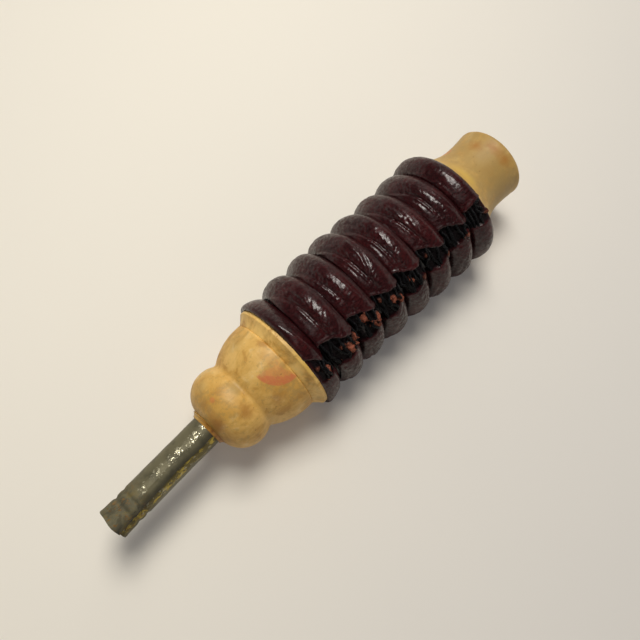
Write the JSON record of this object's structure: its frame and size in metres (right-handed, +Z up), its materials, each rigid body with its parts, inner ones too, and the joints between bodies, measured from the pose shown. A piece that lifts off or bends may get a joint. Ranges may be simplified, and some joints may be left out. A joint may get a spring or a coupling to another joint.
{
  "type": "bird call",
  "caption": "Bellows bird call: turned wooden head with a rolled metal whistle, ring-pleated leather bellows sewn along one side, and a turned knob that pumps it.",
  "frame": {"origin": "on the resting surface, under the middle of the part's length and width", "axes": "+X along the long axis from the whistle to the knob, +Z up from the resting surface, sewn seam on the -Y side"},
  "size_m": [0.1492, 0.0356, 0.035],
  "materials": {
    "tube_metal": "tarnished plated sheet, brassy along the lap seam",
    "block_wood": "plain wood",
    "stopper_cork": "aged cork or wood plug",
    "shellac": "amber shellac",
    "boxwood": "satin, handled and stained",
    "waxed_thread": "black waxed linen",
    "leather": "glossy oxblood, wrinkled",
    "spring_wire": "bare spring wire"
  },
  "bodies": {
    "head": {"turned_head": "boxwood", "whistle_tube": "tube_metal", "whistle_block": "block_wood", "end_stopper": "stopper_cork", "tube_seal": "shellac", "front_binding": "waxed_thread", "bellows_leather": "leather", "seam_thread": "waxed_thread", "return_spring": "spring_wire"},
    "knob": {"rear_knob": "boxwood", "rear_binding": "waxed_thread"}
  },
  "joints": [
    {"name": "squeeze", "type": "slide", "parent": "head", "child": "knob", "axis": [-1, 0, 0], "range_m": [0, 0.02], "stiffness_N_per_m": 150, "deforming": ["bellows_leather", "seam_thread", "return_spring"]}
  ]
}
